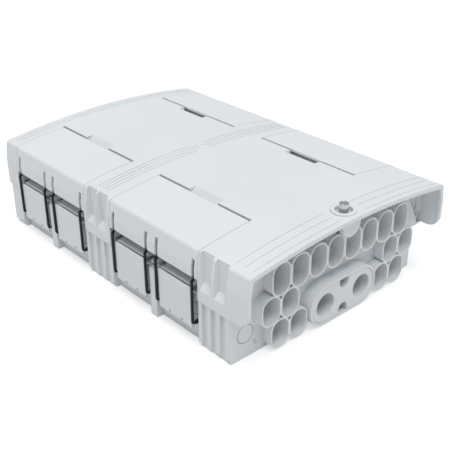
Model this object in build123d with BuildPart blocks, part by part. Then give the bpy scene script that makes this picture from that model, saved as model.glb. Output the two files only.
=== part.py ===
# Fibre distribution box: a flat moulded closure for a cable joint.
# The frame: X across the box, -Y towards the cable ports, +Z up, millimetres.
# The origin is the middle of the underside. Every latch piece is drawn on the +X side
# and mirrored to the -X side.

import os

from build123d import *

os.makedirs("parts", exist_ok=True)

# Overall case
case_length = 420.0
case_width = 280.0
edge_height = 105.0
crown_rise = 11.0
side_bulge = 3.0
shoulder_drop = 20.0
edge_radius = 4.0
lid_wall = 3.0
skirt_bottom = 52.0

# Lid interior: sealing dome, flange and the floor below the levers
dome_half = 112.0
dome_rear = 192.0
flange_bottom = 60.5
flange_thick = 3.0
flange_half = 130.0
recess_floor_top = 105.8
recess_floor_thick = 2.5
overhang = 25.0
cheek_radius = 15.0

# Base
base_half = 134.5
base_rear_gap = 4.0
base_wall = 3.5
base_floor = 3.5
rim_height = 57.5
rim_width = 11.5
rim_thick = 3.5
pilaster_half = 139.5
pilaster_gap = 0.4
rib_reach = 142.5
rib_width = 5.0
base_corner = 8.0

# Levers on the lid
lever_length = 140.0
lever_rear_centre = 116.0
lever_front_centre = -72.0
lever_inner_edge = 77.0
lever_slot = 3.0
lever_end_gap = 0.4
lever_wall = 2.5
lever_bottom = 74.5
lever_pivot_x = 124.0
lever_pivot_z = 88.0
lever_pin_radius = 3.0
lever_pin_reach = 2.9
pin_running_gap = 0.1
gusset_thick = 2.5

# Wire bails
wire_radius = 1.5
bail_offset = 36.0
bail_half_width = 27.5
bail_pivot_x = 137.0
bail_pivot_z = 90.0
bail_arm_x = 144.5
bail_knee_top = 76.5
bail_knee_bottom = 70.5
bail_hook_x = 136.5
bail_hook_z = 22.0
bail_pin_length = 7.0
bail_bend = 3.0
bail_hole_gap = 0.15
notch_width = 4.2
notch_top = 94.0
bearing_thick = 3.0

# Catch plates on the base
catch_gap = 2.3
catch_inner_x = 141.3
catch_thick = 2.2
catch_top = 61.0
catch_lip = 5.5
catch_ledge_gap = 0.3
catch_ledge_thick = 3.2
catch_slope_drop = 3.0
arm_panel_width = 7.5
arm_panel_face = 137.5
arm_panel_low = 46.0

# Ports in the front wall
port_pitch = 25.0
port_wall = 1.8
port_radius = 11.5
port_reach = 12.0
port_depth = 31.0
port_taper = 2.0
port_lap = 3.4
port_web = 2.6
port_web_reach = 4.0
membrane = 1.5
top_row_height = 33.0
low_row_height = 29.0
low_row_bottom = 3.5
front_wall = 4.0
front_top = 98.0
front_top_half = 112.0
front_flange_depth = 13.0
front_flange_thick = 3.0

# Main port and its split insert
collar_width = 98.0
collar_height = 46.0
collar_wall = 2.5
collar_reach = 15.0
collar_depth = 52.0
collar_low = 0.5
insert_gap = 0.3
insert_length = 40.0
insert_setback = 0.6
cable_hole_radius = 12.5
cable_hole_offset = 27.0
insert_notch_width = 13.0
insert_notch_depth = 11.0

# Gasket
gasket_width = 5.0
gasket_height = flange_bottom - rim_height

# Lock stud and its collar
stud_inset = 18.0
stud_radius = 5.0
stud_top = 124.5
stud_slot_width = 1.3
stud_slot_depth = 1.2
collar_ring_radius = 13.0
collar_ring_rise = 1.6
stud_well_radius = 9.0
stud_well_depth = 4.5
stud_gap = 0.1
stud_boss_radius = 9.5
stud_boss_bottom = 98.5
hood_half = 13.0
hood_bottom = 92.0
hood_depth = 5.0
hood_front = 6.5

# Sizes that follow
rear_y = case_length / 2
front_y = -case_length / 2
base_front = front_y + overhang
base_rear = rear_y - base_rear_gap
half_width = case_width / 2
bulge_half = half_width + side_bulge
shoulder_z = edge_height - shoulder_drop
crown_top = edge_height + crown_rise
crown_radius = (half_width**2 + crown_rise**2) / (2 * crown_rise)
lever_centres = {"rear": lever_rear_centre, "front": lever_front_centre}
arm_offsets = [place * bail_offset + side * bail_half_width for place in (-1, 1) for side in (-1, 1)]
stud_y = front_y + stud_inset
port_mouth = base_front - port_reach
port_back = port_mouth + port_depth
collar_face = base_front - collar_reach
collar_centre_z = collar_low + collar_height / 2
row_low_z = low_row_bottom + low_row_height / 2
row_mid_z = row_low_z + low_row_height
row_top_z = row_mid_z + low_row_height / 2 + top_row_height / 2


def crown_z(x):
    """Height of the lid's crowned top at a distance from the middle."""
    return crown_top - crown_radius + (crown_radius**2 - x**2) ** 0.5


def xz_plane(y):
    """A sketch plane across the box at y; an extrusion from it runs towards the ports."""
    return Plane.XZ.offset(-y)


def case_profile(inset, bottom):
    """The case's section across its width, moved inwards by inset."""
    top = edge_height - inset
    side = half_width - inset
    low_side = bulge_half - inset
    with BuildSketch(mode=Mode.PRIVATE) as profile:
        with BuildLine():
            ThreePointArc((-side, top), (0, crown_top - inset), (side, top))
            Polyline((side, top), (low_side, shoulder_z), (low_side, bottom), (-low_side, bottom),
                     (-low_side, shoulder_z), (-side, top))
        make_face()
    return profile.sketch


def case_block(inset, bottom, y_rear, depth):
    """A solid slice of the case, with its two upper edges rounded."""
    with BuildPart() as block:
        with BuildSketch(xz_plane(y_rear)):
            add(case_profile(inset, bottom))
        extrude(amount=depth)
        corners = block.edges().filter_by(Axis.Y).filter_by(
            lambda e: abs(e.center().Z - (edge_height - inset)) < 0.01)
        fillet(corners, max(edge_radius - inset, 1.0))
    return block.part


def front_outline(inset, drop):
    """The port wall's outline: upright sides, a slope inwards and a flat top."""
    half = base_half - inset
    top_half = front_top_half - inset / 2
    with BuildSketch(mode=Mode.PRIVATE) as outline:
        with BuildLine():
            Polyline((-half, drop), (-half, rim_height - inset / 2), (-top_half, front_top - inset),
                     (top_half, front_top - inset), (half, rim_height - inset / 2), (half, drop),
                     (-half, drop))
        make_face()
    return outline.sketch


def save(solid, name):
    """Label one finished piece and write its STEP file."""
    solid.label = name
    export_step(solid, f"parts/{name}.step")


# Whole slices of the case, used to shape the lid, its bay walls and the levers
case_outer = case_block(0, skirt_bottom, rear_y, case_length)
case_inner = case_block(lid_wall, skirt_bottom - 1, rear_y - lid_wall, case_length)

# Lid: the crowned shell with its side skirts and cheeks
bay_length = lever_length
bay_inner_edge = lever_inner_edge - lever_slot
step_wall = 3.0
bulkhead_thick = 4.0
seal_land = 3.0
dome_front = base_front + front_flange_depth + 0.5
bulkhead_rear = base_front + front_flange_depth - 5.5
dome_length = dome_rear - dome_front
flange_top = flange_bottom + flange_thick
ramp_length = 44.0
ramp_reach = 9.0
ramp_depth = 7.0
ramp_pad = 6.5
groove_depth = 0.3
groove_width = 0.7
mid_grooves = [31.0, 25.5, 20.0, 14.5]
mid_groove_middle = sum(mid_grooves) / len(mid_grooves)
mid_bars = [-8.0, -2.0]
mid_bar_length = 12.0
mid_dimple_x = 6.0
mid_dimple_radius = 1.6
front_grooves = [-182.5, -193.0, -203.5]
rear_grooves = [202.0, 196.0]
groove_reach = 130.0
groove_break = 20.0
front_groove_start = 18.0
recess_depth = 6.0
recess_width = 16.0
recess_foot = 64.0
recess_slope = 8.0
recess_side = 2.5
side_recesses = [-153.0, -173.5, 12.5, 31.5]
lip_depth = 4.0
lip_thick = 4.2
drip_inner = 127.5
drip_crest = 131.0
drip_edge = 140.5
drip_crest_top = 64.9
drip_edge_top = 62.6
drip_slot = 8.0
far_out = 200.0

# Shallow grooves in the lid's top, all of one depth below the crown
with BuildPart() as grooves:
    with BuildSketch(Plane.XY.offset(edge_height - 5)):
        with Locations(*[(0, y) for y in mid_grooves + rear_grooves]):
            Rectangle(2 * groove_reach, groove_width)
        for side in (-1, 1):
            with Locations(*[(side * (front_groove_start + groove_reach) / 2, y) for y in front_grooves]):
                Rectangle(groove_reach - front_groove_start, groove_width)
            with Locations(*[(side * groove_reach, y) for y in mid_grooves + rear_grooves + front_grooves]):
                Rectangle(groove_width, 2 * groove_width)
        with Locations((0, mid_groove_middle)):
            Rectangle(groove_break, mid_grooves[0] - mid_grooves[-1] + 2, mode=Mode.SUBTRACT)
            with Locations(*[(x, 0) for x in mid_bars]):
                Rectangle(groove_width, mid_bar_length)
            with Locations((mid_dimple_x, 0)):
                Circle(mid_dimple_radius)
    extrude(amount=crown_rise + 10)
    add(case_block(groove_depth, skirt_bottom, rear_y, case_length), mode=Mode.SUBTRACT)

# Blocks behind the upright recesses of the skirts, trimmed to the case's outline
with BuildPart() as recess_blocks:
    for side in (-1, 1):
        for y in side_recesses:
            with BuildSketch(xz_plane(y + recess_width / 2 + recess_side)):
                with BuildLine():
                    block_inner = bulge_half - recess_depth - lid_wall
                    Polyline((side * block_inner, crown_z(half_width) - 1),
                             (side * block_inner, recess_foot + recess_slope / 2),
                             (side * bulge_half, recess_foot - recess_slope / 2),
                             (side * bulge_half, crown_z(half_width) - 1),
                             (side * block_inner, crown_z(half_width) - 1))
                make_face()
            extrude(amount=recess_width + 2 * recess_side)
    add(case_outer, mode=Mode.INTERSECT)

# Thicker lip along the front edge of the lid
with BuildPart() as front_lip:
    add(case_block(0, skirt_bottom, front_y + lip_depth, lip_depth))
    add(case_block(lip_thick, skirt_bottom - 1, front_y + 2 * lip_depth, 3 * lip_depth), mode=Mode.SUBTRACT)

with BuildPart() as lid:
    add(case_outer)
    add(case_inner, mode=Mode.SUBTRACT)
    add(front_lip.part)
    add(recess_blocks.part)
    # Sealing dome: two long walls and the wall at the rear
    for side in (-1, 1):
        with BuildSketch(Plane.XY.offset(flange_bottom)):
            with Locations((side * (dome_half - lid_wall / 2), (dome_rear + dome_front) / 2)):
                Rectangle(lid_wall, dome_length)
        extrude(amount=crown_z(dome_half) - lid_wall / 2 - flange_bottom)
    with BuildSketch(Plane.XY.offset(flange_bottom)):
        with Locations((0, dome_rear - lid_wall / 2)):
            Rectangle(2 * dome_half, lid_wall)
    extrude(amount=crown_z(dome_half) - lid_wall - flange_bottom + 1)
    # Walls that close each lever bay at its two ends
    for centre in lever_centres.values():
        for end in (-1, 1):
            wall_rear = centre + end * (bay_length / 2 + lid_wall / 2) + lid_wall / 2
            with BuildSketch(xz_plane(wall_rear)):
                add(case_profile(0.5, skirt_bottom))
                Rectangle(2 * (dome_half - lid_wall / 2), 4 * edge_height, mode=Mode.SUBTRACT)
                Rectangle(2 * (base_half + 1), 2 * flange_bottom, mode=Mode.SUBTRACT)
            extrude(amount=lid_wall)
    # Flange round the dome, out to the skirts
    with BuildSketch(Plane.XY.offset(flange_bottom)):
        with Locations((0, (rear_y - 1 + dome_front) / 2)):
            Rectangle(2 * (bulge_half - 1), rear_y - 1 - dome_front)
        with Locations((0, (dome_rear - lid_wall + dome_front) / 2)):
            Rectangle(2 * (dome_half - lid_wall), dome_length - lid_wall, mode=Mode.SUBTRACT)
    extrude(amount=flange_thick)
    # Openings of the four lever bays
    for centre in lever_centres.values():
        for side in (-1, 1):
            with BuildSketch(Plane.XY.offset(recess_floor_top)):
                with Locations((side * (bay_inner_edge + far_out) / 2, centre)):
                    Rectangle(far_out - bay_inner_edge, bay_length)
            extrude(amount=crown_top, mode=Mode.SUBTRACT)
            with BuildSketch(Plane.XY.offset(flange_top)):
                with Locations((side * (dome_half + far_out) / 2, centre)):
                    Rectangle(far_out - dome_half, bay_length)
            extrude(amount=crown_top, mode=Mode.SUBTRACT)
            with BuildSketch(Plane.XY.offset(skirt_bottom - 1)):
                with Locations((side * (flange_half + far_out) / 2, centre)):
                    Rectangle(far_out - flange_half, bay_length)
            extrude(amount=crown_top, mode=Mode.SUBTRACT)
            # Sloped strip over the catch plates, slotted at every bail arm
            with BuildSketch(xz_plane(centre + bay_length / 2)):
                with BuildLine():
                    Polyline((side * drip_inner, flange_bottom), (side * drip_inner, flange_top),
                             (side * drip_crest, drip_crest_top), (side * drip_edge, drip_edge_top),
                             (side * drip_edge, drip_edge_top - 1), (side * flange_half, flange_bottom),
                             (side * drip_inner, flange_bottom))
                make_face()
            extrude(amount=bay_length)
            with BuildSketch(Plane.XY.offset(flange_bottom - 1)):
                with Locations(*[(side * (flange_half + pilaster_half + 4) / 2, centre + offset)
                                 for offset in arm_offsets]):
                    Rectangle(pilaster_half + 4 - flange_half, drip_slot)
            extrude(amount=drip_crest_top - flange_bottom + 2, mode=Mode.SUBTRACT)
            # Floor below the lever, the step up to the lid's top and the pad below the ramp
            with BuildSketch(Plane.XY.offset(recess_floor_top - recess_floor_thick)):
                with Locations((side * (bay_inner_edge - step_wall + dome_half) / 2, centre)):
                    Rectangle(dome_half - bay_inner_edge + step_wall, bay_length + 2)
            extrude(amount=recess_floor_thick)
            with BuildSketch(Plane.XY.offset(recess_floor_top - recess_floor_thick)):
                with Locations((side * (bay_inner_edge - step_wall / 2), centre)):
                    Rectangle(step_wall, bay_length + 2)
            extrude(amount=crown_z(bay_inner_edge) - 1 - recess_floor_top + recess_floor_thick)
            with BuildSketch(Plane.XY.offset(crown_z(bay_inner_edge) - lid_wall - ramp_pad)):
                with Locations((side * (bay_inner_edge - ramp_reach / 2 - 1), centre)):
                    Rectangle(ramp_reach + 2, ramp_length + 6)
            extrude(amount=ramp_pad + 1)
            # Finger ramp at the middle of the lever's inner edge
            with BuildSketch(xz_plane(centre + ramp_length / 2)):
                with BuildLine():
                    ramp_top = crown_z(bay_inner_edge) + 4
                    Polyline((side * (bay_inner_edge - ramp_reach - 8), ramp_top + 0.4),
                             (side * (bay_inner_edge - ramp_reach), crown_z(bay_inner_edge - ramp_reach)),
                             (side * (bay_inner_edge + 1), crown_z(bay_inner_edge) - ramp_depth),
                             (side * (bay_inner_edge + 1), ramp_top),
                             (side * (bay_inner_edge - ramp_reach - 8), ramp_top + 0.4))
                make_face()
            extrude(amount=ramp_length, mode=Mode.SUBTRACT)
    # Bulkhead above the port wall, with the land that presses on the gasket
    with BuildSketch(xz_plane(bulkhead_rear)):
        add(case_profile(0.5, skirt_bottom))
        add(front_outline(-gasket_height, 0), mode=Mode.SUBTRACT)
    extrude(amount=bulkhead_thick)
    with BuildSketch(xz_plane(dome_front)):
        add(front_outline(-gasket_height - seal_land, 0))
        add(front_outline(-gasket_height, 0), mode=Mode.SUBTRACT)
        Rectangle(4 * bulge_half, 2 * flange_bottom, mode=Mode.SUBTRACT)
    extrude(amount=dome_front - bulkhead_rear + bulkhead_thick)
    # Shoulders that close the dome beside the port wall
    with BuildSketch(xz_plane(dome_front + lid_wall)):
        add(front_outline(-gasket_height - seal_land, 0))
        Rectangle(4 * bulge_half, 2 * flange_bottom, mode=Mode.SUBTRACT)
        Rectangle(2 * (dome_half - lid_wall), 4 * crown_top, mode=Mode.SUBTRACT)
    extrude(amount=lid_wall)
    # Bores for the lever pins in the bay walls
    for centre in lever_centres.values():
        for end in (-1, 1):
            with Locations(*[Pos(side * lever_pivot_x, centre + end * (bay_length + lid_wall) / 2,
                                 lever_pivot_z) for side in (-1, 1)]):
                Cylinder(lever_pin_radius + pin_running_gap, lid_wall + 0.2, rotation=(90, 0, 0),
                         mode=Mode.SUBTRACT)
    # Upright recesses in the skirts between the levers
    for y in side_recesses:
        for side in (-1, 1):
            with BuildSketch(xz_plane(y + recess_width / 2)):
                with BuildLine():
                    Polyline((side * (bulge_half - recess_depth), crown_top),
                             (side * (bulge_half - recess_depth), recess_foot + recess_slope),
                             (side * (bulge_half + 1), recess_foot),
                             (side * (bulge_half + 1), crown_top),
                             (side * (bulge_half - recess_depth), crown_top))
                make_face()
            extrude(amount=recess_width, mode=Mode.SUBTRACT)
    # Rounded lower corners of the cheeks
    for side in (-1, 1):
        with BuildSketch(Plane.YZ.offset(side * (bulge_half - 6))):
            with BuildLine():
                Polyline((front_y + cheek_radius, skirt_bottom), (front_y, skirt_bottom),
                         (front_y, skirt_bottom + cheek_radius))
                RadiusArc((front_y, skirt_bottom + cheek_radius),
                          (front_y + cheek_radius, skirt_bottom), -cheek_radius)
            make_face()
        extrude(amount=10, both=True, mode=Mode.SUBTRACT)
    add(grooves.part, mode=Mode.SUBTRACT)
    # Boss, raised ring and well for the lock stud
    with Locations(Pos(0, stud_y, (crown_top + stud_boss_bottom) / 2 - 1)):
        Cylinder(stud_boss_radius, crown_top - stud_boss_bottom - 2)
    with BuildSketch(xz_plane(front_y + hood_front + hood_depth)):
        with Locations((0, hood_bottom + hood_half)):
            SlotOverall(2.02 * hood_half, 2 * hood_half)
            with Locations((0, hood_half / 2)):
                Rectangle(2.02 * hood_half, hood_half)
        with Locations((0, crown_top + hood_half - 2)):
            Rectangle(4 * hood_half, 2 * hood_half, mode=Mode.SUBTRACT)
    extrude(amount=hood_depth)
    with Locations(Pos(0, stud_y, crown_top - 1 + (collar_ring_rise + 1) / 2)):
        Cylinder(collar_ring_radius, collar_ring_rise + 1)
    with Locations(Pos(0, stud_y, crown_top + collar_ring_rise - (stud_well_depth + 1) / 2 + 1)):
        Cylinder(stud_well_radius, stud_well_depth + 1, mode=Mode.SUBTRACT)
    with Locations(Pos(0, stud_y, crown_top)):
        Cylinder(stud_radius + stud_gap, 60, mode=Mode.SUBTRACT)
save(lid.part, "lid_shell")

# Levers: L-shaped covers with bearing ribs for the wire bails
rib_offsets = [place * bail_offset + side * (bail_half_width - bail_bend - 0.3 - bearing_thick / 2)
               for place in (-1, 1) for side in (-1, 1)]
lever_half = lever_length / 2 - lever_end_gap
lever_inside = bulge_half - lever_wall


def lever_at(centre):
    """The lever on the +X side whose middle is at y = centre."""
    under = crown_z(lever_pivot_x) - lever_wall / 2
    with BuildPart() as lever:
        add(case_block(0, lever_bottom, centre + lever_half, 2 * lever_half))
        add(case_block(lever_wall, lever_bottom - 1, centre + lever_half + 1, 2 * lever_half + 2),
            mode=Mode.SUBTRACT)
        with BuildSketch(Plane.XY):
            with Locations((lever_inner_edge / 2 - bulge_half / 2, centre)):
                Rectangle(lever_inner_edge + bulge_half, 3 * lever_length)
        extrude(amount=2 * crown_top, mode=Mode.SUBTRACT)
        # End gussets that carry the hinge pins
        for end in (-1, 1):
            gusset_rear = centre + end * (lever_half - gusset_thick / 2) + gusset_thick / 2
            with BuildSketch(xz_plane(gusset_rear)):
                with BuildLine():
                    Polyline((lever_pivot_x - 6, lever_pivot_z - 4), (lever_pivot_x - 6, under),
                             (half_width - 1, edge_height - 2), (lever_inside + 1, shoulder_z),
                             (lever_inside + 1, lever_bottom + 1), (lever_inside - 4, lever_bottom + 2),
                             (lever_pivot_x + 4, lever_pivot_z - 5), (lever_pivot_x - 3, lever_pivot_z - 6),
                             (lever_pivot_x - 6, lever_pivot_z - 4))
                make_face()
            extrude(amount=gusset_thick)
            pin_middle = centre + end * (lever_half + lever_pin_reach / 2)
            with Locations(Pos(lever_pivot_x, pin_middle, lever_pivot_z)):
                Cylinder(lever_pin_radius, lever_pin_reach, rotation=(90, 0, 0))
        # Bearing ribs beside each bail arm
        for offset in rib_offsets:
            with BuildSketch(xz_plane(centre + offset + bearing_thick / 2)):
                with BuildLine():
                    Polyline((bail_pivot_x - 5, bail_pivot_z - 3.5), (bail_pivot_x - 5, under),
                             (half_width - 1, edge_height - 2), (lever_inside + 1, shoulder_z),
                             (lever_inside + 1, bail_pivot_z - 6), (bail_pivot_x - 2, bail_pivot_z - 5),
                             (bail_pivot_x - 5, bail_pivot_z - 3.5))
                make_face()
                with Locations((bail_pivot_x, bail_pivot_z)):
                    Circle(wire_radius + bail_hole_gap, mode=Mode.SUBTRACT)
            extrude(amount=bearing_thick)
        # Notches for the arms, open at the lower edge
        for offset in arm_offsets:
            with BuildSketch(Plane.YZ.offset(lever_inside - 1)):
                with Locations((centre + offset, (notch_top + lever_bottom - 2) / 2)):
                    Rectangle(notch_width, notch_top - lever_bottom + 2)
            extrude(amount=lever_wall + 4, mode=Mode.SUBTRACT)
    return lever.part


def bail_at(centre):
    """The wire bail on the +X side whose middle is at y = centre."""
    front = centre - bail_half_width
    rear = centre + bail_half_width
    with BuildPart() as bail:
        with BuildLine() as route:
            FilletPolyline((bail_pivot_x, front + bail_pin_length, bail_pivot_z),
                           (bail_pivot_x, front, bail_pivot_z),
                           (bail_pivot_x, front, bail_knee_top),
                           (bail_arm_x, front, bail_knee_bottom),
                           (bail_arm_x, front, bail_hook_z + 2),
                           (bail_hook_x, front, bail_hook_z),
                           (bail_hook_x, rear, bail_hook_z),
                           (bail_arm_x, rear, bail_hook_z + 2),
                           (bail_arm_x, rear, bail_knee_bottom),
                           (bail_pivot_x, rear, bail_knee_top),
                           (bail_pivot_x, rear, bail_pivot_z),
                           (bail_pivot_x, rear - bail_pin_length, bail_pivot_z),
                           radius=bail_bend)
        with BuildSketch(Plane(origin=route.line @ 0, z_dir=route.line % 0)):
            Circle(wire_radius)
        sweep(path=route.line)
    return bail.part


for row, lever_y in lever_centres.items():
    right_lever = lever_at(lever_y)
    save(mirror(right_lever, about=Plane.YZ), f"lever_left_{row}")
    save(right_lever, f"lever_right_{row}")
    for place, shift in {"a": -bail_offset, "b": bail_offset}.items():
        right_bail = bail_at(lever_y + shift)
        save(mirror(right_bail, about=Plane.YZ), f"bail_left_{row}_{place}")
        save(right_bail, f"bail_right_{row}_{place}")

# Base: tub, pilasters, catches, port wall and ports
catch_bottom = bail_hook_z - catch_lip
ledge_bottom = bail_hook_z + wire_radius + catch_ledge_gap
catch_half = bail_half_width - wire_radius - catch_gap / 2
post_half = 5.0
post_gap = 2.5
zone_height = skirt_bottom - pilaster_gap
base_length = base_rear - base_front
base_middle = (base_rear + base_front) / 2
zones = [(lever_rear_centre + lever_length / 2, base_rear),
         (lever_front_centre + lever_length / 2, lever_rear_centre - lever_length / 2),
         (base_front, lever_front_centre - lever_length / 2)]
zone_ribs = 4
disc_radius = 10.5
disc_x = 122.0
disc_z = 27.0
disc_groove = 1.0
disc_slot_x = 110.0
disc_slot_z = 13.0
disc_slot_length = 7.0
disc_slot_width = 4.0
disc_cut = 1.2
notch_x = 127.0
notch_y = -165.0
notch_z = 49.0
boss_radius = 5.0
plate_height = 6.0
plate_width = 210.0
plate_length = 300.0
plate_centre = 30.0
plate_thick = 2.0
plate_screw_x = 95.0
plate_screw_y = 135.0
pilot_radius = 1.6


def port_places():
    """The middle and height of every small port, row by row."""
    places = [((column - 3.5) * port_pitch, row_top_z, top_row_height) for column in range(8)]
    for side in (-1, 1):
        places += [(side * port_pitch * step, row_mid_z, low_row_height) for step in (3.0, 4.0)]
        places += [(side * port_pitch * step, row_low_z, low_row_height) for step in (2.5, 3.5)]
    return places


with BuildPart() as base:
    with BuildSketch():
        with Locations((0, base_middle)):
            RectangleRounded(2 * base_half, base_length, base_corner)
    extrude(amount=rim_height)
    with BuildSketch(Plane.XY.offset(base_floor)):
        with Locations((0, base_middle)):
            RectangleRounded(2 * (base_half - base_wall), base_length - 2 * base_wall,
                             base_corner - base_wall)
    extrude(amount=rim_height, mode=Mode.SUBTRACT)
    # Seat for the gasket, inside the rim
    with BuildSketch(Plane.XY.offset(rim_height - rim_thick)):
        with Locations((0, base_middle)):
            RectangleRounded(2 * base_half, base_length, base_corner)
            Rectangle(2 * (base_half - rim_width), base_length - 2 * rim_width, mode=Mode.SUBTRACT)
    extrude(amount=rim_thick)
    # Thicker corners and ribs between the latches
    for start, stop in zones:
        for side in (-1, 1):
            with BuildSketch():
                with Locations((side * (base_half + pilaster_half - base_wall) / 2, (start + stop) / 2)):
                    Rectangle(pilaster_half - base_half + base_wall, stop - start)
            extrude(amount=zone_height)
            rib_step = (stop - start - rib_width) / (zone_ribs - 1)
            for index in range(zone_ribs):
                rib_y = start + rib_width / 2 + index * rib_step
                with BuildSketch(xz_plane(rib_y + rib_width / 2)):
                    with BuildLine():
                        Polyline((side * (pilaster_half - 1), 1.5), (side * pilaster_half, 1.5),
                                 (side * rib_reach, 6), (side * rib_reach, zone_height),
                                 (side * (pilaster_half - 1), zone_height), (side * (pilaster_half - 1), 1.5))
                    make_face()
                extrude(amount=rib_width)
    # Catches: a plate, a ledge over the bail's crossbar and webs, for each bail
    for centre in lever_centres.values():
        for side in (-1, 1):
            with BuildSketch():
                with Locations((side * (base_half + rib_reach - 2) / 2, centre)):
                    Rectangle(rib_reach - base_half + 2, 2 * post_half)
            extrude(amount=catch_top - 6)
            for place in (-1, 1):
                middle = centre + place * bail_offset
                wall_in = base_half - 1
                face = catch_inner_x + catch_thick
                with BuildSketch(xz_plane(middle + catch_half)):
                    with BuildLine():
                        Polyline((side * catch_inner_x, catch_bottom), (side * (face - 0.8), catch_bottom),
                                 (side * face, catch_bottom + 2), (side * face, catch_top - 1),
                                 (side * (face - 1), catch_top), (side * catch_inner_x, catch_top),
                                 (side * catch_inner_x, catch_top - catch_slope_drop),
                                 (side * wall_in, rim_height - catch_slope_drop),
                                 (side * wall_in, rim_height - 2 * catch_slope_drop),
                                 (side * catch_inner_x, catch_top - 2 * catch_slope_drop),
                                 (side * catch_inner_x, ledge_bottom + catch_ledge_thick),
                                 (side * wall_in, ledge_bottom + catch_ledge_thick),
                                 (side * wall_in, ledge_bottom), (side * catch_inner_x, ledge_bottom),
                                 (side * catch_inner_x, catch_bottom))
                    make_face()
                extrude(amount=2 * catch_half)
    plate_places = [centre + place * bail_offset for centre in lever_centres.values() for place in (-1, 1)]
    web_x = (base_half + catch_inner_x) / 2
    webs = [(side * web_x, middle + step * (catch_half - 4)) for side in (-1, 1) for middle in plate_places
            for step in (-1, 0, 1)]
    with BuildSketch(Plane.XY.offset(ledge_bottom)):
        with Locations(*webs):
            Rectangle(catch_inner_x - base_half + 2, 2)
    extrude(amount=catch_top - ledge_bottom - 5)
    # Panels on the wall behind the upper part of every bail arm
    for centre in lever_centres.values():
        for side in (-1, 1):
            with BuildSketch(Plane.XY.offset(arm_panel_low)):
                with Locations(*[(side * (base_half - 1 + arm_panel_face) / 2, centre + offset)
                                 for offset in arm_offsets]):
                    Rectangle(arm_panel_face - base_half + 1, arm_panel_width)
            extrude(amount=rim_height - 1.5 - arm_panel_low)
    # Two hook-shaped slots at each plate's lower edge
    slots = [middle + step * 9.5 for middle in plate_places for step in (-1, 1)]
    for side in (-1, 1):
        with BuildSketch(Plane.YZ.offset(side * (catch_inner_x + catch_thick / 2))):
            with Locations(*[(y, catch_bottom + 2.4) for y in slots]):
                Rectangle(1.2, 3.2)
            with Locations(*[(y - 1.2, catch_bottom + 3.4) for y in slots]):
                Rectangle(2.6, 1.2)
        extrude(amount=catch_thick, both=True, mode=Mode.SUBTRACT)
    # Port wall with a flange behind its edge for the gasket
    with BuildSketch(xz_plane(base_front + front_flange_depth)):
        add(front_outline(0, 0))
    extrude(amount=front_flange_depth)
    with BuildSketch(xz_plane(base_front + front_flange_depth)):
        add(front_outline(front_flange_thick, base_floor))
    extrude(amount=front_flange_depth - front_wall, mode=Mode.SUBTRACT)
    # Port tubes, joined by webs to their neighbours
    with BuildSketch(xz_plane(port_back)):
        for x, z, height in port_places():
            flat_side = height + port_lap - 2 * port_radius
            with Locations((x, z)):
                RectangleRounded(port_pitch, height + port_lap, port_radius)
            if (x + port_pitch, z, height) in port_places():
                with Locations((x + port_pitch / 2, z)):
                    Rectangle(port_web, flat_side + 2 * port_web_reach)
    extrude(amount=port_depth)
    with BuildSketch(xz_plane(port_mouth)):
        for x, z, height in port_places():
            with Locations((x, z)):
                RectangleRounded(port_pitch - 2 * port_wall, height + port_lap - 2 * port_wall,
                                 port_radius - port_wall)
    extrude(amount=-(port_depth - membrane), taper=port_taper, mode=Mode.SUBTRACT)
    # Sleeve of the main port
    with BuildSketch(xz_plane(collar_face + collar_depth)):
        with Locations((0, collar_centre_z)):
            SlotOverall(collar_width, collar_height)
    extrude(amount=collar_depth)
    with BuildSketch(xz_plane(collar_face + collar_depth)):
        with Locations((0, collar_centre_z)):
            SlotOverall(collar_width - 2 * collar_wall, collar_height - 2 * collar_wall)
    extrude(amount=collar_depth, mode=Mode.SUBTRACT)
    # Round knock-out and small slot at the wall's lower left corner
    with BuildSketch(xz_plane(base_front + disc_cut)):
        with Locations((-disc_x, disc_z)):
            Circle(disc_radius)
            Circle(disc_radius - disc_groove, mode=Mode.SUBTRACT)
        with Locations((-disc_slot_x, disc_slot_z)):
            SlotOverall(disc_slot_length, disc_slot_width, rotation=-60)
    extrude(amount=2 * disc_cut, mode=Mode.SUBTRACT)
    # Stepped lower corner beside the ports on the right
    with BuildSketch():
        with Locations(((notch_x - base_wall + base_half) / 2, (base_front + notch_y + base_wall) / 2)):
            Rectangle(base_half - notch_x + base_wall, notch_y + base_wall - base_front)
    extrude(amount=rim_height - rim_thick)
    with BuildSketch(Plane.XY.offset(-1)):
        with Locations(((notch_x + far_out) / 2, (front_y + notch_y) / 2)):
            Rectangle(far_out - notch_x, notch_y - front_y)
    extrude(amount=notch_z + 1, mode=Mode.SUBTRACT)
    # Bosses for the mounting plate
    with BuildSketch(Plane.XY.offset(base_floor)):
        with Locations((0, plate_centre)):
            with GridLocations(2 * plate_screw_x, 2 * plate_screw_y, 2, 2):
                Circle(boss_radius)
    extrude(amount=plate_height - base_floor)
    with BuildSketch(Plane.XY.offset(plate_height)):
        with Locations((0, plate_centre)):
            with GridLocations(2 * plate_screw_x, 2 * plate_screw_y, 2, 2):
                Circle(pilot_radius)
    extrude(amount=-4, mode=Mode.SUBTRACT)
save(base.part, "base_shell")

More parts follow.
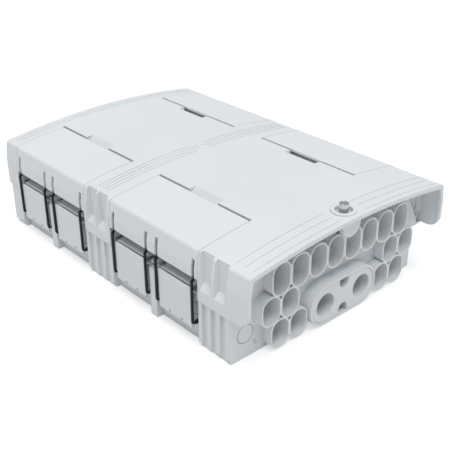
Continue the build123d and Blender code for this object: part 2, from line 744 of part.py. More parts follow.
# Gasket: a flat ring on the rim that climbs over the port wall
strip_out = flange_half - 1.0
strip_rear = base_rear - 1.5
ring_front = base_front + front_flange_depth
arch_rear = bulkhead_rear + 0.5
with BuildPart() as gasket:
    with BuildSketch(Plane.XY.offset(rim_height)):
        with Locations((0, (ring_front + strip_rear) / 2)):
            Rectangle(2 * strip_out, strip_rear - ring_front)
        with Locations((0, (ring_front - 1 + strip_rear - gasket_width) / 2)):
            Rectangle(2 * (strip_out - gasket_width), strip_rear - gasket_width - ring_front + 1,
                      mode=Mode.SUBTRACT)
    extrude(amount=gasket_height)
    with BuildSketch(xz_plane(arch_rear)):
        add(front_outline(-gasket_height, rim_height))
        add(front_outline(0, 0), mode=Mode.SUBTRACT)
    extrude(amount=gasket_width)
    with BuildSketch(xz_plane(ring_front)):
        add(front_outline(-gasket_height, rim_height))
        add(front_outline(0, 0), mode=Mode.SUBTRACT)
        with Locations((0, flange_bottom + 1 + crown_top / 2)):
            Rectangle(4 * bulge_half, crown_top, mode=Mode.SUBTRACT)
    extrude(amount=ring_front - arch_rear + 0.1)
    for side in (-1, 1):
        with BuildSketch(Plane.XY.offset(rim_height)):
            with Locations((side * (strip_out + base_half + 1) / 2, ring_front + gasket_width / 2)):
                Rectangle(base_half + 2 - strip_out, gasket_width)
        extrude(amount=gasket_height)
save(gasket.part, "lid_gasket")

# Lock stud, slotted at its top, and the clip that keeps it in the lid
clip_thick = 1.0
clip_outer = 5.9
stud_bottom = stud_boss_bottom - clip_thick - 1.2
stud_neck = 4.2
with BuildPart() as stud:
    with BuildSketch(Plane.XY.offset(stud_bottom)):
        with Locations((0, stud_y)):
            Circle(stud_radius)
    extrude(amount=stud_top - stud_bottom)
    fillet(stud.edges().group_by(Axis.Z)[-1], 0.8)
    with BuildSketch(Plane.XY.offset(stud_top - stud_slot_depth)):
        with Locations((0, stud_y)):
            Rectangle(3 * stud_radius, stud_slot_width, rotation=50)
    extrude(amount=stud_slot_depth + 1, mode=Mode.SUBTRACT)
    with BuildSketch(Plane.XY.offset(stud_boss_bottom - clip_thick - 0.1)):
        with Locations((0, stud_y)):
            Circle(stud_radius + 1)
            Circle(stud_neck, mode=Mode.SUBTRACT)
    extrude(amount=clip_thick, mode=Mode.SUBTRACT)
save(stud.part, "lock_stud")

with BuildPart() as clip:
    with BuildSketch(Plane.XY.offset(stud_boss_bottom - clip_thick)):
        with Locations((0, stud_y)):
            Circle(clip_outer)
            Circle(stud_neck + 0.1, mode=Mode.SUBTRACT)
            with Locations((0, -clip_outer)):
                Rectangle(1.6 * stud_neck, 2 * clip_outer - 2, mode=Mode.SUBTRACT)
    extrude(amount=clip_thick - 0.2)
save(clip.part, "stud_clip")

# Split insert of the main port, with two cable holes and a seal behind it
insert_width = collar_width - 2 * collar_wall - 2 * insert_gap
insert_height = collar_height - 2 * collar_wall - 2 * insert_gap
insert_rear = collar_face + insert_setback + insert_length


def insert_half(side):
    """One half of the split insert: side 1 is the upper one."""
    with BuildPart() as half:
        with BuildSketch(xz_plane(insert_rear)):
            with Locations((0, collar_centre_z)):
                SlotOverall(insert_width, insert_height)
                with Locations((-cable_hole_offset, 0), (cable_hole_offset, 0)):
                    Circle(cable_hole_radius, mode=Mode.SUBTRACT)
                with Locations((0, side * (insert_height / 2 - insert_notch_depth / 2 + 5))):
                    SlotOverall(insert_notch_depth + 10, insert_notch_width, rotation=90,
                                mode=Mode.SUBTRACT)
                with Locations((0, -side * insert_height / 2)):
                    Rectangle(2 * insert_width, insert_height, mode=Mode.SUBTRACT)
        extrude(amount=insert_length)
    return half.part


save(insert_half(1), "insert_upper")
save(insert_half(-1), "insert_lower")

seal_thick = 5.0
with BuildPart() as insert_seal:
    with BuildSketch(xz_plane(insert_rear + seal_thick)):
        with Locations((0, collar_centre_z)):
            SlotOverall(insert_width, insert_height)
            with Locations((-cable_hole_offset, 0), (cable_hole_offset, 0)):
                Circle(cable_hole_radius + 0.5, mode=Mode.SUBTRACT)
    extrude(amount=seal_thick)
save(insert_seal.part, "insert_seal")

# Mounting plate and its screws
plate_top_z = plate_height + plate_thick
with BuildPart() as plate:
    with BuildSketch(Plane.XY.offset(plate_height)):
        with Locations((0, plate_centre)):
            RectangleRounded(plate_width, plate_length, 12)
            with GridLocations(2 * plate_screw_x, 2 * plate_screw_y, 2, 2):
                Circle(pilot_radius + 0.2, mode=Mode.SUBTRACT)
            with GridLocations(60, 0, 3, 1):
                SlotOverall(60, 8, rotation=90, mode=Mode.SUBTRACT)
    extrude(amount=plate_thick)
save(plate.part, "mounting_plate")

with BuildPart() as plate_screws:
    with BuildSketch(Plane.XY.offset(plate_top_z)):
        with Locations((0, plate_centre)):
            with GridLocations(2 * plate_screw_x, 2 * plate_screw_y, 2, 2):
                Circle(3.5)
    extrude(amount=2.2)
    with BuildSketch(Plane.XY.offset(plate_height - 3.5)):
        with Locations((0, plate_centre)):
            with GridLocations(2 * plate_screw_x, 2 * plate_screw_y, 2, 2):
                Circle(pilot_radius - 0.1)
    extrude(amount=plate_thick + 3.5)
save(plate_screws.part, "plate_screws")

# Slack basket for spare fibre
basket_half = 84.0
basket_front = -55.0
basket_rear = 165.0
basket_height = 30.0
basket_wall = 2.0
basket_middle = (basket_front + basket_rear) / 2
with BuildPart() as basket:
    with BuildSketch(Plane.XY.offset(plate_top_z)):
        with Locations((0, basket_middle)):
            RectangleRounded(2 * basket_half, basket_rear - basket_front, 24)
    extrude(amount=basket_height)
    with BuildSketch(Plane.XY.offset(plate_top_z + basket_wall)):
        with Locations((0, basket_middle)):
            RectangleRounded(2 * (basket_half - basket_wall), basket_rear - basket_front - 2 * basket_wall,
                             24 - basket_wall)
    extrude(amount=basket_height, mode=Mode.SUBTRACT)
    with BuildSketch(Plane.XY.offset(plate_top_z + basket_height - 2)):
        with Locations((0, basket_middle)):
            with GridLocations(2 * basket_half - 24, 100, 2, 2):
                Rectangle(21, 12)
    extrude(amount=2)
    with BuildSketch(Plane.XY.offset(plate_top_z + basket_height / 2)):
        with Locations((0, basket_front)):
            Rectangle(70, 10)
    extrude(amount=basket_height, mode=Mode.SUBTRACT)
save(basket.part, "slack_basket")

# Hinge bracket for the splice trays
tray_count = 6
tray_height = 8.0
tray_gap = 0.4
tray_base = plate_top_z + basket_height + 1.6
tray_pitch = tray_height + tray_gap
tray_half = 84.0
tray_front = -50.0
tray_rear = 162.0
tray_hinge_y = -66.0
tray_pin_radius = 2.0
tower_gap = 1.0
tower_thick = 3.0
tower_inner = tray_half + tower_gap
tower_top = tray_base + tray_count * tray_pitch
tray_levels = [tray_base + index * tray_pitch for index in range(tray_count)]
with BuildPart() as tray_bracket:
    with BuildSketch(Plane.XY.offset(plate_top_z)):
        with Locations((0, tray_hinge_y - 2)):
            Rectangle(2 * (tower_inner + tower_thick), 18)
    extrude(amount=2)
    for side in (-1, 1):
        with BuildSketch(Plane.XY.offset(plate_top_z)):
            with Locations((side * (tower_inner + tower_thick / 2), tray_hinge_y - 2)):
                Rectangle(tower_thick, 18)
        extrude(amount=tower_top - plate_top_z)
    with BuildSketch(Plane.YZ.offset(-tower_inner - 2 * tower_thick)):
        with Locations(*[(tray_hinge_y, level + tray_height / 2) for level in tray_levels]):
            Circle(tray_pin_radius + 0.1)
    extrude(amount=2 * tower_inner + 4 * tower_thick, mode=Mode.SUBTRACT)
save(tray_bracket.part, "tray_bracket")

# Splice trays, all from one moulding, with their splice combs
tray_wall = 1.6
tray_middle = (tray_front + tray_rear) / 2
spool_radius = 28.0
with BuildPart() as tray:
    with BuildSketch(Plane.XY.offset(tray_base)):
        with Locations((0, tray_middle)):
            RectangleRounded(2 * tray_half, tray_rear - tray_front, 30)
    extrude(amount=tray_height)
    with BuildSketch(Plane.XY.offset(tray_base + tray_wall)):
        with Locations((0, tray_middle)):
            RectangleRounded(2 * (tray_half - tray_wall), tray_rear - tray_front - 2 * tray_wall,
                             30 - tray_wall)
    extrude(amount=tray_height, mode=Mode.SUBTRACT)
    with BuildSketch(Plane.XY.offset(tray_base + tray_wall / 2)):
        with Locations((-34, tray_middle), (34, tray_middle)):
            Circle(spool_radius)
            Circle(spool_radius - tray_wall, mode=Mode.SUBTRACT)
    extrude(amount=tray_height - tray_wall)
    # Ears with the hinge pins at the front
    for side in (-1, 1):
        with BuildSketch(Plane.XY.offset(tray_base)):
            with Locations((side * (tray_half - 5), (tray_hinge_y - 4 + tray_front + 40) / 2)):
                Rectangle(8, tray_front + 40 - tray_hinge_y + 4)
        extrude(amount=tray_height)
        with Locations(Pos(side * (tray_half + 1.2), tray_hinge_y, tray_base + tray_height / 2)):
            Cylinder(tray_pin_radius, 5.4, rotation=(0, 90, 0))
save(tray.part, "splice_tray_1")

comb_length = 60.0
comb_width = 24.0
comb_height = 5.2
with BuildPart() as comb:
    with BuildSketch(Plane.XY.offset(tray_base + tray_wall)):
        with Locations((0, tray_rear - 34)):
            Rectangle(comb_length, comb_width)
    extrude(amount=comb_height)
    with BuildSketch(Plane.XY.offset(tray_base + tray_wall + 1.4)):
        with Locations((0, tray_rear - 34)):
            with GridLocations(0, 3.8, 1, 6):
                Rectangle(comb_length + 2, 2.6)
    extrude(amount=comb_height, mode=Mode.SUBTRACT)
save(comb.part, "splice_comb_1")
for index in range(1, tray_count):
    save(Pos(0, 0, index * tray_pitch) * tray.part, f"splice_tray_{index + 1}")
    save(Pos(0, 0, index * tray_pitch) * comb.part, f"splice_comb_{index + 1}")

# Clear cover on the top tray and the strap round the stack
cover_thick = 1.2
stack_top = tray_base + (tray_count - 1) * tray_pitch + tray_height
with BuildPart() as tray_cover:
    with BuildSketch(Plane.XY.offset(stack_top)):
        with Locations((0, tray_middle)):
            RectangleRounded(2 * tray_half, tray_rear - tray_front, 30)
    extrude(amount=cover_thick)
save(tray_cover.part, "tray_cover")

strap_thick = 1.0
strap_width = 20.0
strap_y = 60.0
strap_gap = 0.2
strap_bottom = tray_base - strap_gap - strap_thick
strap_top = stack_top + cover_thick + strap_gap + strap_thick
with BuildPart() as strap:
    with BuildSketch(xz_plane(strap_y + strap_width / 2)):
        with Locations((0, (strap_bottom + strap_top) / 2)):
            Rectangle(2 * (tray_half + strap_gap + strap_thick), strap_top - strap_bottom)
            Rectangle(2 * (tray_half + strap_gap), strap_top - strap_bottom - 2 * strap_thick,
                      mode=Mode.SUBTRACT)
    extrude(amount=strap_width)
save(strap.part, "tray_strap")

# Clamp bars for the cables' strength members, with two screws
clamp_y = -106.0
clamp_half = 80.0
clamp_depth = 12.0
clamp_low = 12.0
clamp_high = 8.0
clamp_screw_x = 72.0
clamp_screw_radius = 2.5
groove_places = [-54.0, -36.0, -18.0, 0.0, 18.0, 36.0, 54.0]
with BuildPart() as clamp_lower:
    with BuildSketch(xz_plane(clamp_y + clamp_depth / 2)):
        with Locations((0, plate_top_z + clamp_low / 2)):
            Rectangle(2 * clamp_half, clamp_low)
        with Locations(*[(x, plate_top_z + clamp_low) for x in groove_places]):
            Circle(3.5, mode=Mode.SUBTRACT)
    extrude(amount=clamp_depth)
    with Locations(*[Pos(side * clamp_screw_x, clamp_y, plate_top_z + clamp_low / 2) for side in (-1, 1)]):
        Cylinder(clamp_screw_radius, clamp_low + 1, mode=Mode.SUBTRACT)
save(clamp_lower.part, "clamp_bar_lower")

clamp_upper_z = plate_top_z + clamp_low
with BuildPart() as clamp_upper:
    with BuildSketch(xz_plane(clamp_y + clamp_depth / 2)):
        with Locations((0, clamp_upper_z + clamp_high / 2)):
            Rectangle(2 * clamp_half, clamp_high)
        with Locations(*[(x, clamp_upper_z) for x in groove_places]):
            Circle(3.5, mode=Mode.SUBTRACT)
    extrude(amount=clamp_depth)
    with Locations(*[Pos(side * clamp_screw_x, clamp_y, clamp_upper_z + clamp_high / 2)
                     for side in (-1, 1)]):
        Cylinder(clamp_screw_radius + 0.1, clamp_high + 1, mode=Mode.SUBTRACT)
save(clamp_upper.part, "clamp_bar_upper")

clamp_head = clamp_upper_z + clamp_high
with BuildPart() as clamp_screws:
    with BuildSketch(Plane.XY.offset(clamp_head)):
        with Locations((-clamp_screw_x, clamp_y), (clamp_screw_x, clamp_y)):
            RegularPolygon(5.2, 6)
    extrude(amount=3.5)
    with BuildSketch(Plane.XY.offset(plate_top_z)):
        with Locations((-clamp_screw_x, clamp_y), (clamp_screw_x, clamp_y)):
            Circle(clamp_screw_radius)
    extrude(amount=clamp_head - plate_top_z)
save(clamp_screws.part, "clamp_screws")

# Earth stud with its nuts, on the mounting plate
earth_x = 97.0
earth_y = -92.0
earth_radius = 3.0
earth_height = 26.0
with BuildPart() as earth_stud:
    with BuildSketch(Plane.XY.offset(plate_top_z)):
        with Locations((earth_x, earth_y)):
            Circle(earth_radius)
    extrude(amount=earth_height)
save(earth_stud.part, "earth_stud")

with BuildPart() as earth_nuts:
    for level in (0, 12):
        with BuildSketch(Plane.XY.offset(plate_top_z + level)):
            with Locations((earth_x, earth_y)):
                RegularPolygon(6, 6)
                Circle(earth_radius, mode=Mode.SUBTRACT)
        extrude(amount=5)
save(earth_nuts.part, "earth_nuts")
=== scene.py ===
# %% [markdown]
# A fibre distribution box is a flat moulded closure that keeps the joints between cables dry.
# Its lid is held down by four lever covers, and each lever pulls on two black wire bails.
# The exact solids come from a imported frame, in metres, with the underside at zero and the
# cable ports towards -Y. This lesson dresses them: materials first, then the small moulded
# details that are quicker to shape in Blender than in the solid model.

# %% Load the frame
import math

import bpy
import bmesh
from mathutils import Matrix, Vector


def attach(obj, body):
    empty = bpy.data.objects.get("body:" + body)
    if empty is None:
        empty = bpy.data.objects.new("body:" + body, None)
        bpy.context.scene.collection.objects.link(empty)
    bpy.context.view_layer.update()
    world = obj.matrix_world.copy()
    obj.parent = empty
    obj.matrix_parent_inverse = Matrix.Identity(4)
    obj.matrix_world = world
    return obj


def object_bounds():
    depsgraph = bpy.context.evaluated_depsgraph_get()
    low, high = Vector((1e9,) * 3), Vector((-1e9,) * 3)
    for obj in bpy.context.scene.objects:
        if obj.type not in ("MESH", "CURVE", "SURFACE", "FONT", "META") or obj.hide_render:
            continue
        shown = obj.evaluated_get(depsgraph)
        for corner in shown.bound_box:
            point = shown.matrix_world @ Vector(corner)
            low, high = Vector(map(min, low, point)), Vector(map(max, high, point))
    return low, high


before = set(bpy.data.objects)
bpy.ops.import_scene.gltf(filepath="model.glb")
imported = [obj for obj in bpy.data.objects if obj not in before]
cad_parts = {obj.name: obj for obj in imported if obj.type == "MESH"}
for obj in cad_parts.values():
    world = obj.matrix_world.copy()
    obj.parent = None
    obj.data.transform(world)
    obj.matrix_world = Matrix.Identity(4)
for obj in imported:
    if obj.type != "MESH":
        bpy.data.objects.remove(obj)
cad_low, cad_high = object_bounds()
print("solid model from", cad_low, "to", cad_high)

# %% [markdown]
# The camera stands where the photograph was taken: to the left of the ports and well above
# the lid. It was found by matching corners of the real box, so the focal length and the place
# belong together. The lens is given for a 36 mm wide sensor, and the frame is square.

# %% Place the camera
camera_place = Vector((-0.5534, -0.6396, 0.4803))
view_direction = Vector((0.5868, 0.6558, -0.4750)).normalized()
camera_roll = math.radians(-0.302)
focal_pixels = 824.35
frame_pixels = 450

camera_data = bpy.data.cameras.new("photo_camera")
camera_data.sensor_width = 36.0
camera_data.lens = camera_data.sensor_width * focal_pixels / frame_pixels
camera_data.clip_end = 50.0
camera = bpy.data.objects.new("photo_camera", camera_data)
bpy.context.collection.objects.link(camera)
turn = view_direction.to_track_quat("-Z", "Y").to_matrix().to_4x4()
camera.matrix_world = Matrix.Translation(camera_place) @ turn @ Matrix.Rotation(camera_roll, 4, "Z")
bpy.context.scene.camera = camera
print("lens", round(camera_data.lens, 2), "mm")

# %% [markdown]
# A studio picture on white needs three things: a pale floor that still takes the object's
# shadow, a world that lights evenly from all round, and one soft lamp that makes the top
# brighter than the sides. The floor is drawn brighter to the camera than it is to the light,
# so that it reads as white without throwing extra light on the box.

# %% Lay the floor
def link_nodes(tree, *pairs):
    """Joins sockets: each pair is an output and an input."""
    for out_socket, in_socket in pairs:
        tree.links.new(out_socket, in_socket)


floor_size = 24.0
floor_gap = 0.0002
bpy.ops.object.select_all(action="DESELECT")
bpy.ops.mesh.primitive_plane_add(size=floor_size, location=(0, 0, cad_low[2] - floor_gap))
floor = bpy.context.object
floor.name = "studio_floor"
floor_paint = bpy.data.materials.new("floor_paint")
floor_paint.use_nodes = True
tree = floor_paint.node_tree
tree.nodes.clear()
floor_out = tree.nodes.new("ShaderNodeOutputMaterial")
floor_diffuse = tree.nodes.new("ShaderNodeBsdfDiffuse")
floor_diffuse.inputs["Color"].default_value = (0.82, 0.82, 0.82, 1)
floor_shadow = tree.nodes.new("ShaderNodeBsdfDiffuse")
floor_shadow.inputs["Color"].default_value = (0.55, 0.55, 0.55, 1)
floor_glow = tree.nodes.new("ShaderNodeEmission")
floor_glow.inputs["Color"].default_value = (1, 1, 1, 1)
floor_glow.inputs["Strength"].default_value = 0.52
floor_seen = tree.nodes.new("ShaderNodeAddShader")
light_path = tree.nodes.new("ShaderNodeLightPath")
seen_or_shiny = tree.nodes.new("ShaderNodeMath")
seen_or_shiny.operation = "MAXIMUM"
floor_mix = tree.nodes.new("ShaderNodeMixShader")
link_nodes(
    tree,
    (light_path.outputs["Is Camera Ray"], seen_or_shiny.inputs[0]),
    (light_path.outputs["Is Glossy Ray"], seen_or_shiny.inputs[1]),
    (floor_shadow.outputs[0], floor_seen.inputs[0]),
    (floor_glow.outputs[0], floor_seen.inputs[1]),
    (seen_or_shiny.outputs[0], floor_mix.inputs[0]),
    (floor_diffuse.outputs[0], floor_mix.inputs[1]),
    (floor_seen.outputs[0], floor_mix.inputs[2]),
    (floor_mix.outputs[0], floor_out.inputs["Surface"]),
)
floor.data.materials.append(floor_paint)
print("floor at", round(cad_low[2], 4))

# %% Light the studio
world = bpy.data.worlds.new("studio_world")
bpy.context.scene.world = world
world.use_nodes = True
tree = world.node_tree
tree.nodes.clear()
world_out = tree.nodes.new("ShaderNodeOutputWorld")
world_light = tree.nodes.new("ShaderNodeBackground")
world_light.inputs["Color"].default_value = (0.97, 0.985, 1.0, 1)
world_light.inputs["Strength"].default_value = 0.47
world_white = tree.nodes.new("ShaderNodeBackground")
world_white.inputs["Color"].default_value = (1, 1, 1, 1)
world_white.inputs["Strength"].default_value = 1.0
world_path = tree.nodes.new("ShaderNodeLightPath")
seen_directly = tree.nodes.new("ShaderNodeMath")
seen_directly.operation = "MAXIMUM"
world_mix = tree.nodes.new("ShaderNodeMixShader")
link_nodes(
    tree,
    (world_path.outputs["Is Camera Ray"], seen_directly.inputs[0]),
    (world_path.outputs["Is Transmission Ray"], seen_directly.inputs[1]),
    (seen_directly.outputs[0], world_mix.inputs[0]),
    (world_light.outputs[0], world_mix.inputs[1]),
    (world_white.outputs[0], world_mix.inputs[2]),
    (world_mix.outputs[0], world_out.inputs["Surface"]),
)

key_data = bpy.data.lights.new("top_softbox", "SUN")
key_data.energy = 2.0
key_data.angle = math.radians(38)
key = bpy.data.objects.new("top_softbox", key_data)
bpy.context.collection.objects.link(key)
key.rotation_euler = Vector((0.12, 0.22, -1.0)).to_track_quat("-Z", "Y").to_euler()
bpy.context.scene.view_settings.view_transform = "Standard"
print("world strength", world_light.inputs["Strength"].default_value, "sun", key_data.energy)

# %% [markdown]
# Moulded plastic looks flat in a render unless its surface varies a little. A mould is
# etched with a fine grain, and a new box has faint clouds where the plastic flowed. Both are
# the same on every plastic piece, so they are one node group. It reads Object coordinates,
# which stay with the piece when it moves.

# %% Build the grain group
def add_sockets(group, inputs, outputs):
    """Gives a node group its named sockets: (name, type, value) for inputs, (name, type) for outputs."""
    for name, kind, value in inputs:
        socket = group.interface.new_socket(name=name, in_out="INPUT", socket_type=kind)
        socket.default_value = value
    for name, kind in outputs:
        group.interface.new_socket(name=name, in_out="OUTPUT", socket_type=kind)


def place_node(tree, kind, **values):
    """Adds a node and sets its properties by name."""
    node = tree.nodes.new(kind)
    for name, value in values.items():
        setattr(node, name, value)
    return node


COLOUR, NUMBER = "NodeSocketColor", "NodeSocketFloat"
# A Mix node that blends colours takes them in these sockets and gives the blend in the third
MIX_A, MIX_B, MIX_RESULT = 6, 7, 2
grain = bpy.data.node_groups.new("mould_grain", "ShaderNodeTree")
add_sockets(
    grain,
    [("Colour", COLOUR, (0.7, 0.7, 0.7, 1)), ("Cloud", NUMBER, 0.04), ("Grain Scale", NUMBER, 900.0),
     ("Rough Low", NUMBER, 0.42), ("Rough High", NUMBER, 0.55)],
    [("Colour", COLOUR), ("Roughness", NUMBER), ("Height", NUMBER)],
)
grain_in = place_node(grain, "NodeGroupInput")
grain_out = place_node(grain, "NodeGroupOutput")
grain_place = place_node(grain, "ShaderNodeTexCoord")
clouds = place_node(grain, "ShaderNodeTexNoise")
clouds.inputs["Scale"].default_value = 9.0
clouds.inputs["Detail"].default_value = 3.0
etching = place_node(grain, "ShaderNodeTexNoise")
etching.inputs["Detail"].default_value = 2.0
cloud_shift = place_node(grain, "ShaderNodeMapRange")
cloud_shift.inputs["From Min"].default_value = 0.3
cloud_shift.inputs["From Max"].default_value = 0.7
cloud_shift.inputs["To Max"].default_value = 1.0
cloud_low = place_node(grain, "ShaderNodeMath", operation="SUBTRACT")
cloud_low.inputs[0].default_value = 1.0
cloud_shift_out = cloud_shift.outputs["Result"]
shade = place_node(grain, "ShaderNodeMix", data_type="RGBA", blend_type="MULTIPLY")
shade.inputs["Factor"].default_value = 1.0
grey_value = place_node(grain, "ShaderNodeCombineColor")
rough_range = place_node(grain, "ShaderNodeMapRange")
link_nodes(
    grain,
    (grain_place.outputs["Object"], clouds.inputs["Vector"]),
    (grain_place.outputs["Object"], etching.inputs["Vector"]),
    (grain_in.outputs["Grain Scale"], etching.inputs["Scale"]),
    (clouds.outputs["Fac"], cloud_shift.inputs["Value"]),
    (grain_in.outputs["Cloud"], cloud_low.inputs[1]),
    (cloud_low.outputs[0], cloud_shift.inputs["To Min"]),
    (cloud_shift_out, grey_value.inputs["Red"]),
    (cloud_shift_out, grey_value.inputs["Green"]),
    (cloud_shift_out, grey_value.inputs["Blue"]),
    (grain_in.outputs["Colour"], shade.inputs[MIX_A]),
    (grey_value.outputs[0], shade.inputs[MIX_B]),
    (shade.outputs[MIX_RESULT], grain_out.inputs["Colour"]),
    (etching.outputs["Fac"], rough_range.inputs["Value"]),
    (grain_in.outputs["Rough Low"], rough_range.inputs["To Min"]),
    (grain_in.outputs["Rough High"], rough_range.inputs["To Max"]),
    (rough_range.outputs["Result"], grain_out.inputs["Roughness"]),
    (etching.outputs["Fac"], grain_out.inputs["Height"]),
)
print("grain group has", len(grain.nodes), "nodes")

# %% [markdown]
# The edges of a moulding are never knife sharp. A Bevel node rounds the shading of an edge
# without touching the mesh, which matters here because the solids must keep their shape.
# The plastic uses it under the grain's bump, with a radius of just under a millimetre.

# %% Write the plastic
def moulded_plastic(name, colour, cloud=0.04, rough=(0.42, 0.55), edge=0.0009, bump=0.05, scale=900.0):
    """A moulded plastic with clouds, etched grain and softened edges."""
    plastic = bpy.data.materials.new(name)
    plastic.use_nodes = True
    tree = plastic.node_tree
    shader = tree.nodes["Principled BSDF"]
    texture = place_node(tree, "ShaderNodeGroup", node_tree=grain)
    texture.inputs["Colour"].default_value = (*colour, 1)
    texture.inputs["Cloud"].default_value = cloud
    texture.inputs["Grain Scale"].default_value = scale
    texture.inputs["Rough Low"].default_value = rough[0]
    texture.inputs["Rough High"].default_value = rough[1]
    soft_edge = place_node(tree, "ShaderNodeBevel", samples=6)
    soft_edge.inputs["Radius"].default_value = edge
    etched = place_node(tree, "ShaderNodeBump")
    etched.inputs["Strength"].default_value = bump
    etched.inputs["Distance"].default_value = 0.0002
    link_nodes(
        tree,
        (texture.outputs["Colour"], shader.inputs["Base Color"]),
        (texture.outputs["Roughness"], shader.inputs["Roughness"]),
        (texture.outputs["Height"], etched.inputs["Height"]),
        (soft_edge.outputs[0], etched.inputs["Normal"]),
        (etched.outputs[0], shader.inputs["Normal"]),
    )
    shader.inputs["Specular IOR Level"].default_value = 0.35
    return plastic


shell_plastic = moulded_plastic("shell_plastic", (0.735, 0.765, 0.785))
lever_plastic = moulded_plastic("lever_plastic", (0.74, 0.77, 0.79), cloud=0.03)
insert_plastic = moulded_plastic("insert_plastic", (0.70, 0.725, 0.74), rough=(0.38, 0.5))
inner_plastic = moulded_plastic("inner_plastic", (0.80, 0.81, 0.81), rough=(0.4, 0.5))
tray_plastic = moulded_plastic("tray_plastic", (0.84, 0.85, 0.85), rough=(0.3, 0.42))
soft_rubber = moulded_plastic(
    "soft_rubber", (0.035, 0.036, 0.038), cloud=0.2, rough=(0.6, 0.8), bump=0.12, scale=500.0)
comb_rubber = moulded_plastic(
    "comb_rubber", (0.08, 0.16, 0.42), cloud=0.1, rough=(0.55, 0.7), bump=0.1, scale=600.0)
print("plastics made")

# %% [markdown]
# The bails are spring wire with a black coat. Such a coat is smooth, so it shows one thin
# highlight along the wire, and its colour hardly varies.

# %% Write the black coat
wire_coat = moulded_plastic(
    "wire_coat", (0.006, 0.006, 0.0065), cloud=0.25, rough=(0.3, 0.42), edge=0.0002, bump=0.03,
    scale=700.0)
wire_coat.node_tree.nodes["Principled BSDF"].inputs["Specular IOR Level"].default_value = 0.3
print("wire coat made")

# %% [markdown]
# Metal is a different shader: its colour is in the reflection. Turned steel carries fine
# rings, rolled sheet carries long streaks. Both come from a noise that is stretched, so one
# function makes every metal here, and only the stretch differs.

# %% Write the metals
def worked_metal(name, colour, stretch, rough=(0.2, 0.34), bump=0.06):
    """A metal whose fine marks run along one axis: stretch is the noise scale on X, Y and Z."""
    dull_share = 0.86
    metal = bpy.data.materials.new(name)
    metal.use_nodes = True
    tree = metal.node_tree
    shader = tree.nodes["Principled BSDF"]
    shader.inputs["Metallic"].default_value = 1.0
    where = place_node(tree, "ShaderNodeTexCoord")
    drawn = place_node(tree, "ShaderNodeMapping")
    drawn.inputs["Scale"].default_value = stretch
    marks = place_node(tree, "ShaderNodeTexNoise")
    marks.inputs["Scale"].default_value = 1.0
    marks.inputs["Detail"].default_value = 4.0
    rough_range = place_node(tree, "ShaderNodeMapRange")
    rough_range.inputs["To Min"].default_value = rough[0]
    rough_range.inputs["To Max"].default_value = rough[1]
    tone = place_node(tree, "ShaderNodeMix", data_type="RGBA")
    tone.inputs[MIX_A].default_value = (*[value * dull_share for value in colour], 1)
    tone.inputs[MIX_B].default_value = (*colour, 1)
    etched = place_node(tree, "ShaderNodeBump")
    etched.inputs["Strength"].default_value = bump
    etched.inputs["Distance"].default_value = 0.0001
    link_nodes(
        tree,
        (where.outputs["Object"], drawn.inputs["Vector"]),
        (drawn.outputs[0], marks.inputs["Vector"]),
        (marks.outputs["Fac"], rough_range.inputs["Value"]),
        (marks.outputs["Fac"], tone.inputs["Factor"]),
        (tone.outputs[MIX_RESULT], shader.inputs["Base Color"]),
        (rough_range.outputs["Result"], shader.inputs["Roughness"]),
        (marks.outputs["Fac"], etched.inputs["Height"]),
        (etched.outputs[0], shader.inputs["Normal"]),
    )
    return metal


turned_steel = worked_metal("turned_steel", (0.72, 0.72, 0.73), (400, 400, 2500), rough=(0.16, 0.28))
zinc_steel = worked_metal("zinc_steel", (0.66, 0.68, 0.7), (700, 700, 700), rough=(0.28, 0.42))
rolled_aluminium = worked_metal("rolled_aluminium", (0.8, 0.81, 0.82), (1200, 14, 1200), rough=(0.3, 0.42))
plain_brass = worked_metal("plain_brass", (0.78, 0.6, 0.27), (900, 900, 1800), rough=(0.22, 0.35))
print("metals made")

# %% [markdown]
# Two finishes are left for the inside. The strap is woven, which a pair of crossed waves
# gives: where one is high the warp is on top. The clear cover is plain plastic sheet, which
# lets light through and stays a little milky.

# %% Write the strap's weave and the clear sheet
woven_strap = bpy.data.materials.new("woven_strap")
woven_strap.use_nodes = True
tree = woven_strap.node_tree
shader = tree.nodes["Principled BSDF"]
where = place_node(tree, "ShaderNodeTexCoord")
warp = place_node(tree, "ShaderNodeTexWave", bands_direction="X")
weft = place_node(tree, "ShaderNodeTexWave", bands_direction="Y")
for threads in (warp, weft):
    threads.inputs["Scale"].default_value = 180.0
    threads.inputs["Distortion"].default_value = 0.4
cloth_height = place_node(tree, "ShaderNodeMath", operation="MULTIPLY")
cloth_tone = place_node(tree, "ShaderNodeMix", data_type="RGBA")
cloth_tone.inputs[MIX_A].default_value = (0.012, 0.012, 0.014, 1)
cloth_tone.inputs[MIX_B].default_value = (0.05, 0.05, 0.055, 1)
cloth_bump = place_node(tree, "ShaderNodeBump")
cloth_bump.inputs["Strength"].default_value = 0.5
cloth_bump.inputs["Distance"].default_value = 0.0003
link_nodes(
    tree,
    (where.outputs["Object"], warp.inputs["Vector"]),
    (where.outputs["Object"], weft.inputs["Vector"]),
    (warp.outputs["Fac"], cloth_height.inputs[0]),
    (weft.outputs["Fac"], cloth_height.inputs[1]),
    (cloth_height.outputs[0], cloth_tone.inputs["Factor"]),
    (cloth_height.outputs[0], cloth_bump.inputs["Height"]),
    (cloth_tone.outputs[MIX_RESULT], shader.inputs["Base Color"]),
    (cloth_bump.outputs[0], shader.inputs["Normal"]),
)
shader.inputs["Roughness"].default_value = 0.85

clear_sheet = moulded_plastic("clear_sheet", (0.86, 0.9, 0.92), cloud=0.02, rough=(0.08, 0.16), bump=0.02)
clear_sheet.node_tree.nodes["Principled BSDF"].inputs["Transmission Weight"].default_value = 0.85
print("weave and sheet made")

# %% [markdown]
# Every solid gets the finish that its real piece has. The list goes by the start of each
# name, because repeated pieces share it, and nothing may be left without a finish.

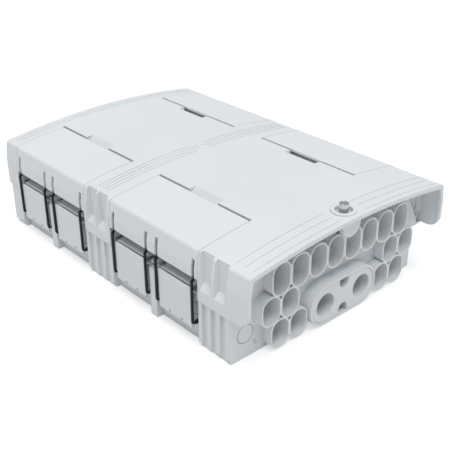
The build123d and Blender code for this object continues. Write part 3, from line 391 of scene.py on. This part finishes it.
# %% Dress the solids
finish_of = {
    "base_shell": shell_plastic, "lid_shell": shell_plastic, "lever_": lever_plastic,
    "insert_upper": insert_plastic, "insert_lower": insert_plastic, "insert_seal": soft_rubber,
    "lid_gasket": soft_rubber, "bail_": wire_coat, "lock_stud": turned_steel,
    "stud_clip": zinc_steel, "plate_screws": zinc_steel, "clamp_screws": zinc_steel,
    "mounting_plate": rolled_aluminium, "slack_basket": inner_plastic,
    "tray_bracket": inner_plastic, "clamp_bar": inner_plastic, "splice_tray": tray_plastic,
    "splice_comb": comb_rubber, "tray_cover": clear_sheet, "tray_strap": woven_strap,
    "earth_": plain_brass,
}
for node_name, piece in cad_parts.items():
    finish = next(material for start, material in finish_of.items() if node_name.startswith(start))
    piece.data.materials.clear()
    piece.data.materials.append(finish)
print("finishes", len(set(finish_of.values())), "on", len(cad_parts), "solids")

# %% [markdown]
# Each small port is closed at its back by a thin membrane that is cut out when a cable goes
# in. The plastic entered the mould at the middle of it, and that leaves a small stepped nib.
# One nib is modelled by hand: a disc is added, its front face is inset and drawn out to a
# shorter step, and a bevel modifier takes the edges off. The ports stand in three rows, so
# the other nibs are copies, and every copy gets a mesh of its own.

# %% Model one gate nib
def select_none():
    """Leaves no object selected, so that an operator meets only what is added next."""
    for thing in bpy.context.selected_objects:
        thing.select_set(False)


def pick_faces(piece, wanted):
    """Selects, in edit mode, the faces that pass the test and returns how many they are."""
    bpy.ops.mesh.select_all(action="DESELECT")
    bpy.ops.mesh.select_mode(type="FACE")
    shape = bmesh.from_edit_mesh(piece.data)
    shape.faces.ensure_lookup_table()
    for face in shape.faces:
        face.select_set(wanted(face))
    bmesh.update_edit_mesh(piece.data)
    return sum(face.select for face in shape.faces)


membrane_y = -0.1675
nib_radius = 0.0016
nib_height = 0.0005
nib_step = nib_radius * 0.45
nib_rounding = 0.00012
select_none()
bpy.ops.mesh.primitive_cylinder_add(
    vertices=32, radius=nib_radius, depth=2 * nib_height,
    location=(0, membrane_y, 0), rotation=(math.radians(90), 0, 0))
nib = bpy.context.object
nib.name = "gate_nib"
bpy.ops.object.transform_apply(location=True, rotation=True, scale=True)
bpy.ops.object.mode_set(mode="EDIT")
print("front face", pick_faces(nib, lambda face: face.normal.y < -0.9))
bpy.ops.mesh.inset(thickness=nib_step)
bpy.ops.mesh.extrude_region_move(TRANSFORM_OT_translate={"value": (0, -nib_height, 0)})
bpy.ops.object.mode_set(mode="OBJECT")
nib_round = nib.modifiers.new("rounding", "BEVEL")
nib_round.width = nib_rounding
nib_round.segments = 2
bpy.ops.object.modifier_apply(modifier=nib_round.name)
nib.data.materials.append(shell_plastic)
print("nib faces", len(nib.data.polygons))

# %% Copy the nib to every port
pitch = 0.025
top_z, middle_z, low_z = 0.078, 0.047, 0.018
top_steps = [column - 3.5 for column in range(8)]
middle_steps = [-3.0, -4.0, 3.0, 4.0]
low_steps = [-2.5, -3.5, 2.5, 3.5]
rows = [(top_z, top_steps), (middle_z, middle_steps), (low_z, low_steps)]
nib_places = [(step * pitch, z) for z, steps in rows for step in steps]
for number, (x, z) in enumerate(nib_places, start=1):
    copy = nib.copy()
    copy.data = nib.data.copy()
    copy.name = f"gate_nib_{number}"
    copy.data.transform(Matrix.Translation((x, 0, z)))
    bpy.context.collection.objects.link(copy)
    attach(copy, "case")
bpy.data.objects.remove(nib)
print("nibs", len(nib_places))
